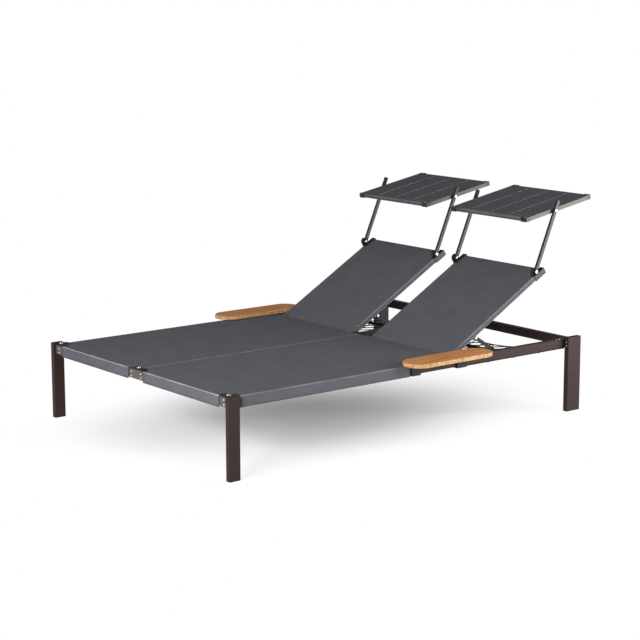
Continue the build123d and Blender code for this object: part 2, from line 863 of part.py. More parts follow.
# Headed bolts and spacers that the canopy turns on, and the screws on its corner blocks
def canopy_bolts():
    pieces = []
    spans = (
        (canopy_in + canopy_rail, arm_in - joint_gap, -1),
        (canopy_out - canopy_rail, arm_out + arm_width + joint_gap, 1),
    )
    for deep, seat, outward in spans:
        head_end = seat + outward * canopy_bolt_head_height
        head = x_rod(seat, head_end, 0, 0, canopy_bolt_head)
        rim = head.faces().sort_by(Axis.X)[-1 if outward > 0 else 0].edges()
        head = fillet(rim, canopy_bolt_head_edge)
        pieces.append(head + x_rod(deep, seat, 0, 0, canopy_bolt))
    for x0, x1 in ((arm_in + arm_width, canopy_in), (canopy_out, arm_out)):
        spacer = x_rod(x0 + joint_gap, x1 - pin_fit, 0, 0, canopy_spacer)
        pieces.append(spacer - x_rod(x0, x1, 0, 0, canopy_bolt + pin_fit))
    for x, y in block_screw_places():
        low = canopy_half - block_screw_length + pin_fit
        head = z_rod(x, y, canopy_half, canopy_half + block_screw_height, block_screw)
        pieces.append(head + z_rod(x, y, low, canopy_half, block_screw_stem))
    return [canopy_place() * piece for piece in pieces]


# Tray board with full round ends
def tray_board():
    x = tray_inner_x + tray_width / 2
    y = tray_foot_y + tray_length / 2
    z = rail_top + tray_lift
    board = extrude(Pos(x, y, z) * Rot(0, 0, 90) * SlotOverall(tray_length, tray_width), amount=tray_thickness)
    rims = board.faces().sort_by(Axis.Z)[0].edges() + board.faces().sort_by(Axis.Z)[-1].edges()
    return fillet(rims, tray_edge)


# Tray bracket: a channel that hangs on the side rail, with a toe inside its top edge
def tray_bracket(y0, y1):
    gap = tray_slide_gap
    top = rail_top + tray_lift
    inner = side_in - gap
    outer = side_out + gap + tray_bracket_wall
    lip_top = rail_bottom - gap
    lip_in = side_out + gap - tray_bracket_lip_length
    outline = [
        (inner - tray_bracket_toe, top), (outer, top), (outer, lip_top - tray_bracket_lip),
        (lip_in, lip_top - tray_bracket_lip), (lip_in, lip_top), (side_out + gap, lip_top),
        (side_out + gap, rail_top + gap), (inner, rail_top + gap),
        (inner, rail_top - tray_bracket_toe_drop),
        (inner - tray_bracket_toe, rail_top - tray_bracket_toe_drop),
    ]
    body = y_prism(outline, y0, y1)
    floor = body.faces().sort_by(Axis.Z)[0]
    rim = floor.edges().sort_by(Axis.X)[1:]
    return fillet(rim, tray_bracket_edge)


def tray_bracket_pair():
    return [tray_bracket(y0, y1) for y0, y1 in tray_brackets_y]


# Knot of the net: column i across the bed and row j from its foot edge to its head edge,
# which hangs in a curve between the two head corners
def knot(i, j):
    x = net_inner() + (net_outer() - net_inner()) * i / net_columns
    across = 2 * i / net_columns - 1
    head = net_middle_y + (net_corner_y - net_middle_y) * across ** 2
    return x, net_foot_y + (head - net_foot_y) * j / net_rows


def net_inner():
    return centre_out - net_edge_inset


def net_outer():
    return side_in + net_edge_inset


# A mesh of the net, drawn in from its knots by half a cord
def mesh(corners):
    count = len(corners)
    mx = sum(x for x, y in corners) / count
    my = sum(y for x, y in corners) / count
    sides = [(corners[k], corners[(k + 1) % count]) for k in range(count)]
    rim = sum(hypot(b[0] - a[0], b[1] - a[1]) for a, b in sides)
    area = abs(sum(a[0] * b[1] - b[0] * a[1] for a, b in sides)) / 2
    keep = 1 - net_cord / 2 / (2 * area / rim)
    points = [(mx + (x - mx) * keep, my + (y - my) * keep) for x, y in corners]
    return Wire.make_polygon([Vector(x, y) for x, y in points], close=True)


def net_meshes():
    wires = []
    for i in range(net_columns + 1):
        for j in range(net_rows + 1):
            if (i + j) % 2:
                around = ((i - 1, j), (i, j - 1), (i + 1, j), (i, j + 1))
                inside = [(p, q) for p, q in around if 0 <= p <= net_columns and 0 <= q <= net_rows]
                wires.append(mesh([knot(p, q) for p, q in inside]))
    return wires


# Knots on the two long edges, where the net is hooked to the rails
def hook_places():
    return [knot(i, j) for i in (0, net_columns) for j in range(0, net_rows + 1, 2)]


def storage_net():
    head_edge = [knot(i, net_rows) for i in range(net_columns + 1)]
    rim = [(x, y + net_border) for x, y in reversed(head_edge)]
    left, right = net_inner() - net_border, net_outer() + net_border
    foot = net_foot_y - net_border
    corner = net_corner_y + net_border
    outline = [(left, foot), (right, foot), (right, corner)] + rim + [(left, corner)]
    border = Wire.make_polygon([Vector(x, y) for x, y in outline], close=True)
    holes = net_meshes()
    circle = hook_stem + hook_fit
    holes += [Wire.make_circle(circle, Plane((x, y, 0))) for x, y in hook_places()]
    net = extrude(Face(border, holes), amount=net_thickness, dir=(0, 0, 1))
    return Pos(0, 0, rail_bottom - net_drop - net_thickness) * net


# Hook under a rail: a stem through the net with a flange under it
def net_hooks():
    pieces = []
    flange_top = rail_bottom - net_drop - net_thickness - hook_fit
    for x, y in hook_places():
        stem = z_rod(x, y, flange_top, rail_bottom, hook_stem)
        pieces.append(stem + z_rod(x, y, flange_top, flange_top - hook_flange_height, hook_flange))
    return pieces


# Rails between the connectors
def side_rail():
    y0 = foot_face + foot_arm + connector_seam
    y1 = head_face - head_arm - connector_seam
    return box_tube((side_in, y0, rail_bottom), (side_out, y1, rail_top), 1, rail_wall, rail_corner)


def centre_rail():
    y0 = foot_face + foot_arm + connector_seam
    y1 = head_face - foot_arm - connector_seam
    return box_tube((centre_in, y0, rail_bottom), (centre_out, y1, rail_top), 1, rail_wall, rail_corner)


def end_rail(y0):
    x0 = plate_centre + connector_seam
    x1 = plate_in - connector_seam
    return box_tube((x0, y0, rail_bottom), (x1, y0 + rail_width, rail_top), 0, rail_wall, rail_corner)


def foot_leg():
    body = leg(*foot_leg_y, tongue_span(foot_face, 1, foot_leg_depth, foot_end))
    for hole in leg_screw_holes(foot_leg_y[1], foot_leg_y[1] - leg_wall):
        body -= hole
    return body


def head_leg():
    body = leg(*head_leg_y, tongue_span(head_face, -1, head_leg_depth, head_end))
    for hole in leg_screw_holes(head_leg_y[0], head_leg_y[0] + leg_wall):
        body -= hole
    return body


def head_corner_connector():
    body = corner_connector(head_face, -1, head_arm, head_leg_depth, head_end)
    for y in top_screw_places():
        body -= z_rod((side_in + side_out) / 2, y, rail_top - screw_length, rail_top, screw_hole)
    return body


def frame_caps():
    top = bed_height - leg_cap_height
    right = [corner_cap()]
    for y0, y1 in (foot_leg_y, head_leg_y):
        right.append(leg_plug(y0, y1, bed_height, top, leg_cap_spigot, leg_cap_edge))
    return both_sides(right) + [centre_cap()]


nodes = {}


def keep(name, pieces):
    nodes[name] = pieces if isinstance(pieces, list) else [pieces]


def keep_pair(name, pieces):
    right = pieces if isinstance(pieces, list) else [pieces]
    keep(name + "_right", right)
    keep(name + "_left", [to_left(piece) for piece in right])


def keep_units(name, pieces):
    right = pieces if isinstance(pieces, list) else [pieces]
    keep(name + "_right", right)
    keep(name + "_left", [to_left_unit(piece) for piece in right])


keep_pair("leg_foot", foot_leg())
keep_pair("leg_head", head_leg())
keep_pair("glide_foot", leg_plug(*foot_leg_y, 0, glide_height, glide_spigot, glide_edge))
keep_pair("glide_head", leg_plug(*head_leg_y, 0, glide_height, glide_spigot, glide_edge))
keep("frame_caps", frame_caps())
keep_pair("side_rail", side_rail())
keep("centre_rails", both_sides([centre_rail()]))
keep("foot_rails", both_sides([end_rail(foot_face)]))
keep("head_rails", both_sides([end_rail(head_face - rail_width)]))
keep_pair("corner_connector_foot", corner_connector(foot_face, 1, foot_arm, foot_leg_depth, foot_end))
keep_pair("corner_connector_head", head_corner_connector())
keep("centre_connector_foot", centre_connector(foot_face, 1))
keep("centre_connector_head", centre_connector(head_face, -1))
keep("connector_screws", connector_screws())
keep("seat_rear_bars", both_sides([seat_rear_bar()]))
keep_pair("seat_fabric", seat_fabric())
keep("ratchet_racks", both_sides(racks()))
keep("hinge_brackets", both_sides(hinge_brackets()))
keep("hinge_pins", both_sides(hinge_pins()))
keep_pair("storage_net", storage_net())
keep("net_hooks", both_sides(net_hooks()))
keep_units("backrest_fabric", back_fabric_sleeve())
keep_units("backrest_frame", back_frame())
keep_units("hinge_blocks", hinge_blocks())
keep_units("corner_brackets", corner_brackets())
keep_units("arm_bolts", arm_bolts())
keep_units("prop_pivots", prop_pivots())
keep_pair("prop", prop())
keep_units("canopy_arms", arms())
keep_units("canopy_fabric", canopy_fabric_sleeve())
keep_units("canopy_frame", canopy_frame())
keep_units("canopy_corner_blocks", corner_blocks())
keep_units("canopy_bolts", canopy_bolts())
keep_pair("tray_board", tray_board())
keep_pair("tray_brackets", tray_bracket_pair())

# The origin goes to the floor under the middle of the outline
boxes = [piece.bounding_box() for pieces in nodes.values() for piece in pieces]
middle_y = (min(b.min.Y for b in boxes) + max(b.max.Y for b in boxes)) / 2
to_origin = Pos(0, -middle_y, 0)

os.makedirs("parts", exist_ok=True)
for name, pieces in nodes.items():
    placed = [to_origin * piece for piece in pieces]
    export_step(placed[0] if len(placed) == 1 else Compound(placed), "parts/" + name + ".step")

pivot_y, pivot_z = turned(prop_pivot_s, -prop_pivot_drop, back_rest_angle)
places = {
    "middle": (middle_y, 0),
    "backrest hinge": (hinge_y - middle_y, hinge_z),
    "prop pivot": (hinge_y + pivot_y - middle_y, hinge_z + pivot_z),
    "arm pivot": (arm_pivot()[0] - middle_y, arm_pivot()[1]),
    "canopy pivot": (canopy_pivot_place()[0] - middle_y, canopy_pivot_place()[1]),
}
for name, (y, z) in places.items():
    print(name, "y", round(y, 4), "z", round(z, 4))
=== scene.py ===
import json
import math

import bmesh
import bpy
from mathutils import Matrix, Vector


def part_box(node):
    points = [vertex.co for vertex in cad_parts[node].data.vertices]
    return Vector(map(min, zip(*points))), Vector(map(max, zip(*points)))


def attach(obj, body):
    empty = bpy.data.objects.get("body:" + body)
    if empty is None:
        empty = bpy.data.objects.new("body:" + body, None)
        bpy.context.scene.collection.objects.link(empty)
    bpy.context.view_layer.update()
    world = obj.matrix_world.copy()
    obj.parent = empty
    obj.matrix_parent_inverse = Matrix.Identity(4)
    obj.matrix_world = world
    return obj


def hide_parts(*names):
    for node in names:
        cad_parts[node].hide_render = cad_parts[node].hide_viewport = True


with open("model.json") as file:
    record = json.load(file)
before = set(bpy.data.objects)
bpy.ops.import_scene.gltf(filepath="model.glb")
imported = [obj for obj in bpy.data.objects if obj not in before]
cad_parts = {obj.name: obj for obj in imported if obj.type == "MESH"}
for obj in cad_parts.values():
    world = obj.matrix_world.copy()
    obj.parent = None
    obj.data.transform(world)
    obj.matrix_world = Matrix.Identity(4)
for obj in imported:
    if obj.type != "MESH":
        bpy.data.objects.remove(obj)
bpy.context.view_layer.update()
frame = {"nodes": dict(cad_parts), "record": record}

mm = 0.001
nodes = frame["nodes"]
sides = {"Right": 1, "Left": -1}  # and which way each lies along x
originY = 76.848 * mm  # the origin lies this far from the middle of the bed, towards its head
print("frame loaded:", len(nodes), "nodes")


# Colours, nodes and objects

def fromHex(text):
    parts = [int(text[i:i + 2], 16) / 255 for i in (0, 2, 4)]
    linear = [p / 12.92 if p <= 0.04045 else ((p + 0.055) / 1.055) ** 2.4 for p in parts]
    return (*linear, 1.0)


def addNode(tree, kind, settings=None, inputs=None):
    node = tree.nodes.new(kind)
    for name, value in (settings or {}).items():
        setattr(node, name, value)
    for socket, value in (inputs or {}).items():
        if isinstance(value, bpy.types.NodeSocket):
            tree.links.new(value, node.inputs[socket])
        else:
            node.inputs[socket].default_value = value
    return node


# The sockets of a colour mix have the same names as its other ones, so they go by number
mixShare, mixFirst, mixSecond, mixResult = 0, 6, 7, 2


def newMaterial(name, shaderInputs):
    material = bpy.data.materials.new(name)
    material.use_nodes = True
    tree = material.node_tree
    tree.nodes.clear()
    shader = addNode(tree, "ShaderNodeBsdfPrincipled", inputs=shaderInputs)
    addNode(tree, "ShaderNodeOutputMaterial", inputs={"Surface": shader.outputs[0]})
    return material, tree, shader


def addObject(name, data):
    made = bpy.data.objects.new(name, data)
    bpy.context.scene.collection.objects.link(made)
    return made


def addShape(name, shape, material):  # a smooth object from a bmesh
    for face in shape.faces:
        face.smooth = True
    data = bpy.data.meshes.new(name)
    shape.to_mesh(data)
    shape.free()
    data.materials.append(material)
    return addObject(name, data)


# Powder-coated aluminium: sprayed and baked, so it is even and softly glossy, with a faint
# orange-peel ripple and a slight cloudiness. The greys have metal flakes in the powder, which
# give them a dull metallic shine
powderCoat = {
    "bronze": {
        "colour": "21130f", "cloud": "2a1b16", "roughness": 0.5, "gloss": 0.18, "metal": 0.0},
    # The plate coat is the bronze made paler, as painted light for the lit foot-facing sides of the
    # foot connectors
    "plate": {"colour": "4a433e", "cloud": "544d47", "roughness": 0.4, "gloss": 0.3, "metal": 0.2},
    "grey": {"colour": "2a2926", "cloud": "302f2c", "roughness": 0.45, "gloss": 0.3, "metal": 0.5},
    "rail": {"colour": "383733", "cloud": "3f3e3a", "roughness": 0.45, "gloss": 0.3, "metal": 0.5},
    "cloudMm": 60.0, "rippleMm": 2.2, "rippleDepthMm": 0.003,
}


def makePowderCoat(name, values):
    material, tree, shader = newMaterial(name, {
        "Roughness": values["roughness"], "Specular IOR Level": values["gloss"],
        "Metallic": values["metal"]})
    place = addNode(tree, "ShaderNodeTexCoord").outputs["Object"]
    cloud = addNode(tree, "ShaderNodeTexNoise", inputs={
        "Vector": place, "Scale": 1000 / powderCoat["cloudMm"], "Detail": 3.0})
    mix = addNode(tree, "ShaderNodeMix", {"data_type": "RGBA"}, {
        mixShare: cloud.outputs[0], mixFirst: fromHex(values["colour"]),
        mixSecond: fromHex(values["cloud"])})
    tree.links.new(mix.outputs[mixResult], shader.inputs["Base Color"])
    ripple = addNode(tree, "ShaderNodeTexNoise", inputs={
        "Vector": place, "Scale": 1000 / powderCoat["rippleMm"], "Detail": 2.0})
    bump = addNode(tree, "ShaderNodeBump", inputs={
        "Height": ripple.outputs[0], "Distance": powderCoat["rippleDepthMm"] * mm, "Strength": 1.0})
    tree.links.new(bump.outputs[0], shader.inputs["Normal"])
    return material


# Moulded nylon, black or grey: matte, a little paler on its top grain, with a fine spark texture.
# The black also stands as painted shade on the head connectors and the props
nylon = {
    "black": {"colour": "0e0e0e", "grain": "171717"},
    "grey": {"colour": "46474a", "grain": "4d4e52"},
    "roughness": 0.5, "gloss": 0.2, "grainMm": 1.1, "depthMm": 0.03, "relief": 0.7,
}


def makeNylon(name, values):
    material, tree, shader = newMaterial(name, {
        "Roughness": nylon["roughness"], "Specular IOR Level": nylon["gloss"]})
    place = addNode(tree, "ShaderNodeTexCoord").outputs["Object"]
    grain = addNode(tree, "ShaderNodeTexNoise", inputs={
        "Vector": place, "Scale": 1000 / nylon["grainMm"], "Detail": 4.0, "Roughness": 0.7})
    mix = addNode(tree, "ShaderNodeMix", {"data_type": "RGBA"}, {
        mixShare: grain.outputs[0], mixFirst: fromHex(values["colour"]),
        mixSecond: fromHex(values["grain"])})
    tree.links.new(mix.outputs[mixResult], shader.inputs["Base Color"])
    bump = addNode(tree, "ShaderNodeBump", inputs={
        "Height": grain.outputs[0], "Distance": nylon["depthMm"] * mm, "Strength": nylon["relief"]})
    tree.links.new(bump.outputs[0], shader.inputs["Normal"])
    return material


# Stainless steel: turned on a lathe and tumbled, so it is bright with fine round scratches
stainless = {"colour": "d6d6d4", "smoothest": 0.18, "roughest": 0.34, "scratchMm": 0.5}


def makeStainless():
    material, tree, shader = newMaterial("turnedStainlessSteel", {
        "Base Color": fromHex(stainless["colour"]), "Metallic": 1.0})
    place = addNode(tree, "ShaderNodeTexCoord").outputs["Object"]
    scratch = addNode(tree, "ShaderNodeTexNoise", inputs={
        "Vector": place, "Scale": 1000 / stainless["scratchMm"], "Detail": 2.0})
    rough = addNode(tree, "ShaderNodeMapRange", inputs={
        "Value": scratch.outputs[0], "To Min": stainless["smoothest"],
        "To Max": stainless["roughest"]})
    tree.links.new(rough.outputs[0], shader.inputs["Roughness"])
    return material


# Coated polyester mesh: round threads woven one over one, a dull grey sheet with a soft
# sheen where it turns away, and a painted highlight, a pale colour mixed in along its folds
# where it is pulled over an edge. The threads are drawn 3 mm apart so that they show
wovenMesh = {
    "seat": {"colour": "4b4c50", "thread": "595a5f", "roughness": 0.65},
    "canopy": {"colour": "444548", "thread": "515255", "roughness": 0.7},
    # fold is the pale colour of the painted highlight along folded edges
    "threadMm": 3.0, "mottleMm": 90.0, "depthMm": 0.16, "relief": 0.8, "fold": "c2c3c7",
    "sheen": 0.03, "sheenRoughness": 0.4, "sheenTint": "c9ccd2",
    "weaveShare": 0.75, "darkest": 0.35, "palest": 1.15,  # how weave and mottle make the colour
}
waveBand = math.pi / 10  # how far apart a wave texture's bands are at a scale of 1


def makeWovenMesh(name, values):
    material, tree, shader = newMaterial(name, {
        "Roughness": values["roughness"], "Specular IOR Level": 0.0,
        "Sheen Weight": wovenMesh["sheen"], "Sheen Roughness": wovenMesh["sheenRoughness"],
        "Sheen Tint": fromHex(wovenMesh["sheenTint"])})
    cloth = addNode(tree, "ShaderNodeTexCoord").outputs["UV"]
    warp, weft = (addNode(tree, "ShaderNodeTexWave", {"bands_direction": way}, {
        "Vector": cloth, "Scale": waveBand * 1000 / wovenMesh["threadMm"], "Distortion": 0.6,
        "Detail": 1.0, "Detail Scale": 0.5}) for way in ("X", "Y"))
    weave = addNode(tree, "ShaderNodeMath", {"operation": "MULTIPLY"}, {
        0: warp.outputs["Fac"], 1: weft.outputs["Fac"]})
    mottle = addNode(tree, "ShaderNodeTexNoise", inputs={
        "Vector": cloth, "Scale": 1000 / wovenMesh["mottleMm"], "Detail": 5.0, "Roughness": 0.6})
    blend = addNode(tree, "ShaderNodeMath", {"operation": "MULTIPLY_ADD", "use_clamp": True}, {
        0: weave.outputs[0], 1: wovenMesh["weaveShare"], 2: mottle.outputs[0]})
    level = addNode(tree, "ShaderNodeMapRange", inputs={
        "Value": blend.outputs[0], "From Min": wovenMesh["darkest"],
        "From Max": wovenMesh["palest"]})
    mix = addNode(tree, "ShaderNodeMix", {"data_type": "RGBA"}, {
        mixShare: level.outputs[0], mixFirst: fromHex(values["colour"]),
        mixSecond: fromHex(values["thread"])})
    # Painted highlight: where the fold attribute says the cloth turns over an edge, a pale colour
    # is mixed in, dotted by the weave's level
    fold = addNode(tree, "ShaderNodeAttribute", {"attribute_name": "fold"})
    highlightShare = addNode(tree, "ShaderNodeMath", {"operation": "MULTIPLY", "use_clamp": True}, {
        0: fold.outputs["Fac"], 1: level.outputs[0]})
    highlighted = addNode(tree, "ShaderNodeMix", {"data_type": "RGBA"}, {
        mixShare: highlightShare.outputs[0], mixFirst: mix.outputs[mixResult],
        mixSecond: fromHex(wovenMesh["fold"])})
    tree.links.new(highlighted.outputs[mixResult], shader.inputs["Base Color"])
    bump = addNode(tree, "ShaderNodeBump", inputs={
        "Height": weave.outputs[0], "Distance": wovenMesh["depthMm"] * mm,
        "Strength": wovenMesh["relief"]})
    tree.links.new(bump.outputs[0], shader.inputs["Normal"])
    return material


# Teak: sawn along the grain, sanded and oiled. Long dark growth streaks on the faces, and a
# paler speckled rim where the rounded edge cuts through the pores. The rim's specks are drawn
# 7.5 mm apart, coarser than real pores, so that they show
teak = {
    "top": "c6894f", "streak": "955e2e", "rim": "b4936c", "pore": "8e5a2b", "rimPore": "8f6038",
    "grainMm": 11.0, "poreMm": 2.6, "rimPoreMm": 7.5, "roughness": 0.62, "gloss": 0.25,
    "grainStretch": (1.0, 0.07, 1.0), "poreStretch": (1.0, 0.3, 0.5),  # longest along the board
    "depthMm": 0.25, "relief": 0.5,
    "rimUntil": 0.55, "faceFrom": 0.95,  # by how much the surface looks up or down
}


def makeTeak():
    material, tree, shader = newMaterial("oiledTeak", {
        "Roughness": teak["roughness"], "Specular IOR Level": teak["gloss"]})
    coords = addNode(tree, "ShaderNodeTexCoord")
    place = coords.outputs["Object"]
    along = addNode(tree, "ShaderNodeMapping", inputs={
        "Vector": place, "Scale": teak["grainStretch"]})
    streak = addNode(tree, "ShaderNodeTexNoise", inputs={
        "Vector": along.outputs[0], "Scale": 1000 / teak["grainMm"], "Detail": 6.0,
        "Roughness": 0.62, "Distortion": 0.5})
    level = addNode(tree, "ShaderNodeMapRange", inputs={
        "Value": streak.outputs[0], "From Min": 0.35, "From Max": 0.7})
    face = addNode(tree, "ShaderNodeMix", {"data_type": "RGBA"}, {
        mixShare: level.outputs[0], mixFirst: fromHex(teak["top"]),
        mixSecond: fromHex(teak["streak"])})
    short = addNode(tree, "ShaderNodeMapping", inputs={
        "Vector": place, "Scale": teak["poreStretch"]})
    pore = addNode(tree, "ShaderNodeTexNoise", inputs={
        "Vector": short.outputs[0], "Scale": 1000 / teak["poreMm"], "Detail": 2.0})
    poreLevel = addNode(tree, "ShaderNodeMapRange", inputs={
        "Value": pore.outputs[0], "From Min": 0.5, "From Max": 0.66})
    speckled = addNode(tree, "ShaderNodeMix", {"data_type": "RGBA"}, {
        mixShare: poreLevel.outputs[0], mixFirst: face.outputs[mixResult],
        mixSecond: fromHex(teak["pore"])})
    speck = addNode(tree, "ShaderNodeTexNoise", inputs={
        "Vector": place, "Scale": 1000 / teak["rimPoreMm"], "Detail": 2.0})
    speckLevel = addNode(tree, "ShaderNodeMapRange", inputs={
        "Value": speck.outputs[0], "From Min": 0.46, "From Max": 0.6})
    rim = addNode(tree, "ShaderNodeMix", {"data_type": "RGBA"}, {
        mixShare: speckLevel.outputs[0], mixFirst: fromHex(teak["rim"]),
        mixSecond: fromHex(teak["rimPore"])})
    normal = addNode(tree, "ShaderNodeSeparateXYZ", inputs={"Vector": coords.outputs["Normal"]})
    upright = addNode(tree, "ShaderNodeMath", {"operation": "ABSOLUTE"}, {0: normal.outputs["Z"]})
    isFace = addNode(tree, "ShaderNodeMapRange", {"interpolation_type": "SMOOTHSTEP"}, {
        "Value": upright.outputs[0], "From Min": teak["rimUntil"], "From Max": teak["faceFrom"]})
    mix = addNode(tree, "ShaderNodeMix", {"data_type": "RGBA"}, {
        mixShare: isFace.outputs[0], mixFirst: rim.outputs[mixResult],
        mixSecond: speckled.outputs[mixResult]})
    tree.links.new(mix.outputs[mixResult], shader.inputs["Base Color"])
    bump = addNode(tree, "ShaderNodeBump", inputs={
        "Height": streak.outputs[0], "Distance": teak["depthMm"] * mm, "Strength": teak["relief"]})
    tree.links.new(bump.outputs[0], shader.inputs["Normal"])
    return material


# Elastic cord: a braided black polyester sleeve on a rubber core, dull with a fine twill
elasticCord = {
    "colour": "0b0b0b", "fleck": "161616", "roughness": 0.8, "gloss": 0.2, "braidMm": 1.6,
}


def makeElasticCord():
    material, tree, shader = newMaterial("braidedElasticCord", {
        "Roughness": elasticCord["roughness"], "Specular IOR Level": elasticCord["gloss"]})
    place = addNode(tree, "ShaderNodeTexCoord").outputs["Object"]
    braid = addNode(tree, "ShaderNodeTexChecker", inputs={
        "Vector": place, "Scale": 1000 / elasticCord["braidMm"],
        "Color1": fromHex(elasticCord["colour"]), "Color2": fromHex(elasticCord["fleck"])})
    tree.links.new(braid.outputs[0], shader.inputs["Base Color"])
    return material


# Polyester sewing thread: twisted, pale grey and slightly shiny, seen as dots along the
# canopy's seams
sewingThread = {
    "colour": "a2a3a5", "twist": "c4c5c8", "roughness": 0.5, "sheen": 0.3, "twistMm": 1.11,
}


def makeSewingThread():
    material, tree, shader = newMaterial("polyesterSewingThread", {
        "Roughness": sewingThread["roughness"], "Sheen Weight": sewingThread["sheen"]})
    place = addNode(tree, "ShaderNodeTexCoord").outputs["Object"]
    twist = addNode(tree, "ShaderNodeTexNoise", inputs={
        "Vector": place, "Scale": 1000 / sewingThread["twistMm"]})
    mix = addNode(tree, "ShaderNodeMix", {"data_type": "RGBA"}, {
        mixShare: twist.outputs[0], mixFirst: fromHex(sewingThread["colour"]),
        mixSecond: fromHex(sewingThread["twist"])})
    tree.links.new(mix.outputs[mixResult], shader.inputs["Base Color"])
    return material


finishes = {
    "frame_bronze": makePowderCoat("powderCoatedBronze", powderCoat["bronze"]),
    "arm_grey": makePowderCoat("powderCoatedWarmGrey", powderCoat["grey"]),
    "plate": makePowderCoat("powderCoatedPlatePaintedLight", powderCoat["plate"]),
    "rail_grey": makePowderCoat("powderCoatedPaleGrey", powderCoat["rail"]),
    "cap_black": makeNylon("blackNylonAndPaintedShade", nylon["black"]),
    "hinge_grey": makeNylon("mouldedGreyNylon", nylon["grey"]),
    "screw_steel": makeStainless(),
    "seat_fabric": makeWovenMesh("wovenSeatMesh", wovenMesh["seat"]),
    "canopy_fabric": makeWovenMesh("wovenCanopyMesh", wovenMesh["canopy"]),
    "tray_wood": makeTeak(),
    "net_cord": makeElasticCord(),
    "sewing_thread": makeSewingThread(),
}

# Pieces whose finish differs from the rest of their slot, such as the paler foot plates, whose
# paler bronze is painted light for their lit foot-facing sides. The head connectors and the props
# are black as painted shade, for the shadow that falls on them there
ownFinish = {"centre_connector_foot": "plate"}
for side in ("right", "left"):
    ownFinish.update({
        "corner_connector_foot_" + side: "plate", "corner_connector_head_" + side: "cap_black",
        "hinge_blocks_" + side: "hinge_grey", "prop_" + side: "cap_black",
        "canopy_frame_" + side: "rail_grey"})
for entry in frame["record"]["subparts"]:
    mesh = nodes[entry["node"]].data
    mesh.materials.clear()
    slot = ownFinish.get(entry["node"], entry["material_slot"])
    mesh.materials.append(finishes[slot])
print("finishes made:", len(finishes))


# Sheets of cloth, laid out flat on a grid and folded over edges

def foldOver(t, limit, radius):  # where a place t on the sheet comes to lie, across and down
    flat = limit - radius
    if t <= flat:
        return t, 0.0
    turn = (t - flat) / radius
    if turn < math.pi / 2:
        return flat + radius * math.sin(turn), radius * (1 - math.cos(turn))
    return limit, t - flat - radius * (math.pi / 2 - 1)


def foldBoth(t, low, high, radius):  # the same for a sheet folded over both its edges
    t, down = foldOver(t, high, radius)
    back, fall = foldOver(-t, -low, radius)
    return -back, down + fall


def foldShare(t, limit, radius):  # 1 halfway round the edge, 0 on both sides of it
    turn = (t - limit + radius) / radius
    return math.sin(2 * turn) if 0 < turn < math.pi / 2 else 0.0


def foldEnd(limit, radius, drop):  # where the flat sheet ends that hangs down by drop
    return limit + drop + radius * (math.pi / 2 - 2)


def gridLines(stops, cells):  # through all the stops, with cells of this size or less between them
    lines = []
    for start, end, cell in zip(stops, stops[1:], cells):
        count = max(1, math.ceil((end - start) / cell - 1e-6))  # no extra cell for a rounding error
        lines += [start + (end - start) * i / count for i in range(count)]
    return lines + [stops[-1]]


# place gives the point for a spot of the flat sheet, and how much painted highlight its fold
# gets there, and keep says which cells stay. The flat sheet is also its UV map, so the weave
# follows the folds
def clothGrid(name, us, vs, place, keep, thickness, material, flip=False):
    shape = bmesh.new()
    uvLayer = shape.loops.layers.uv.new("cloth")
    foldLayer = shape.verts.layers.float.new("fold")
    points = {}
    flat = {}
    for i in range(len(us) - 1):
        for j in range(len(vs) - 1):
            if not keep((us[i] + us[i + 1]) / 2, (vs[j] + vs[j + 1]) / 2):
                continue
            corners = []
            for a, b in ((i, j), (i + 1, j), (i + 1, j + 1), (i, j + 1)):
                if (a, b) not in points:
                    *spot, highlightShare = place(us[a], vs[b])
                    points[a, b] = shape.verts.new(spot)
                    points[a, b][foldLayer] = highlightShare
                    flat[points[a, b]] = (us[a], vs[b])
                corners.append(points[a, b])
            face = shape.faces.new(corners[::-1] if flip else corners)
            for loop in face.loops:
                loop[uvLayer].uv = flat[loop.vert]
    piece = addShape(name, shape, material)
    solid = piece.modifiers.new("thickness", "SOLIDIFY")
    solid.thickness = thickness
    solid.offset = -1.0
    return piece


# Seat: a taut sheet turned down over the rails, cut away round the connectors and the tray's
# brackets, and with no rear hem over the centre rail. Its cut-outs are measured from the middle
# of the bed
seat = {
    "edgeRadiusMm": 4.0, "clothMm": 1.6, "sagMm": 2.0, "sagPower": 0.6,
    "frontHemMm": 49.3, "seamHemMm": 14.0, "rearHemMm": 27.0, "rearHemFromMm": 51.3,
    "cornerCutMm": (616.4, -957.4), "armCutMm": (643.4, -929.4), "trayCutMm": (639.5, -28.0),
    # The side and seam shares scale the painted highlight on the outer side fold and on the seam
    # fold; the foot and rear folds get it in full
    "centreCutMm": 57.6, "sideHighlight": 0.5, "seamHighlight": 0.3,
    "cellsMm": {"seam": 5.0, "rear": 7.0, "edge": 12.0, "across": 14.0, "along": 16.0},
}
foldCells = 5  # round a folded edge


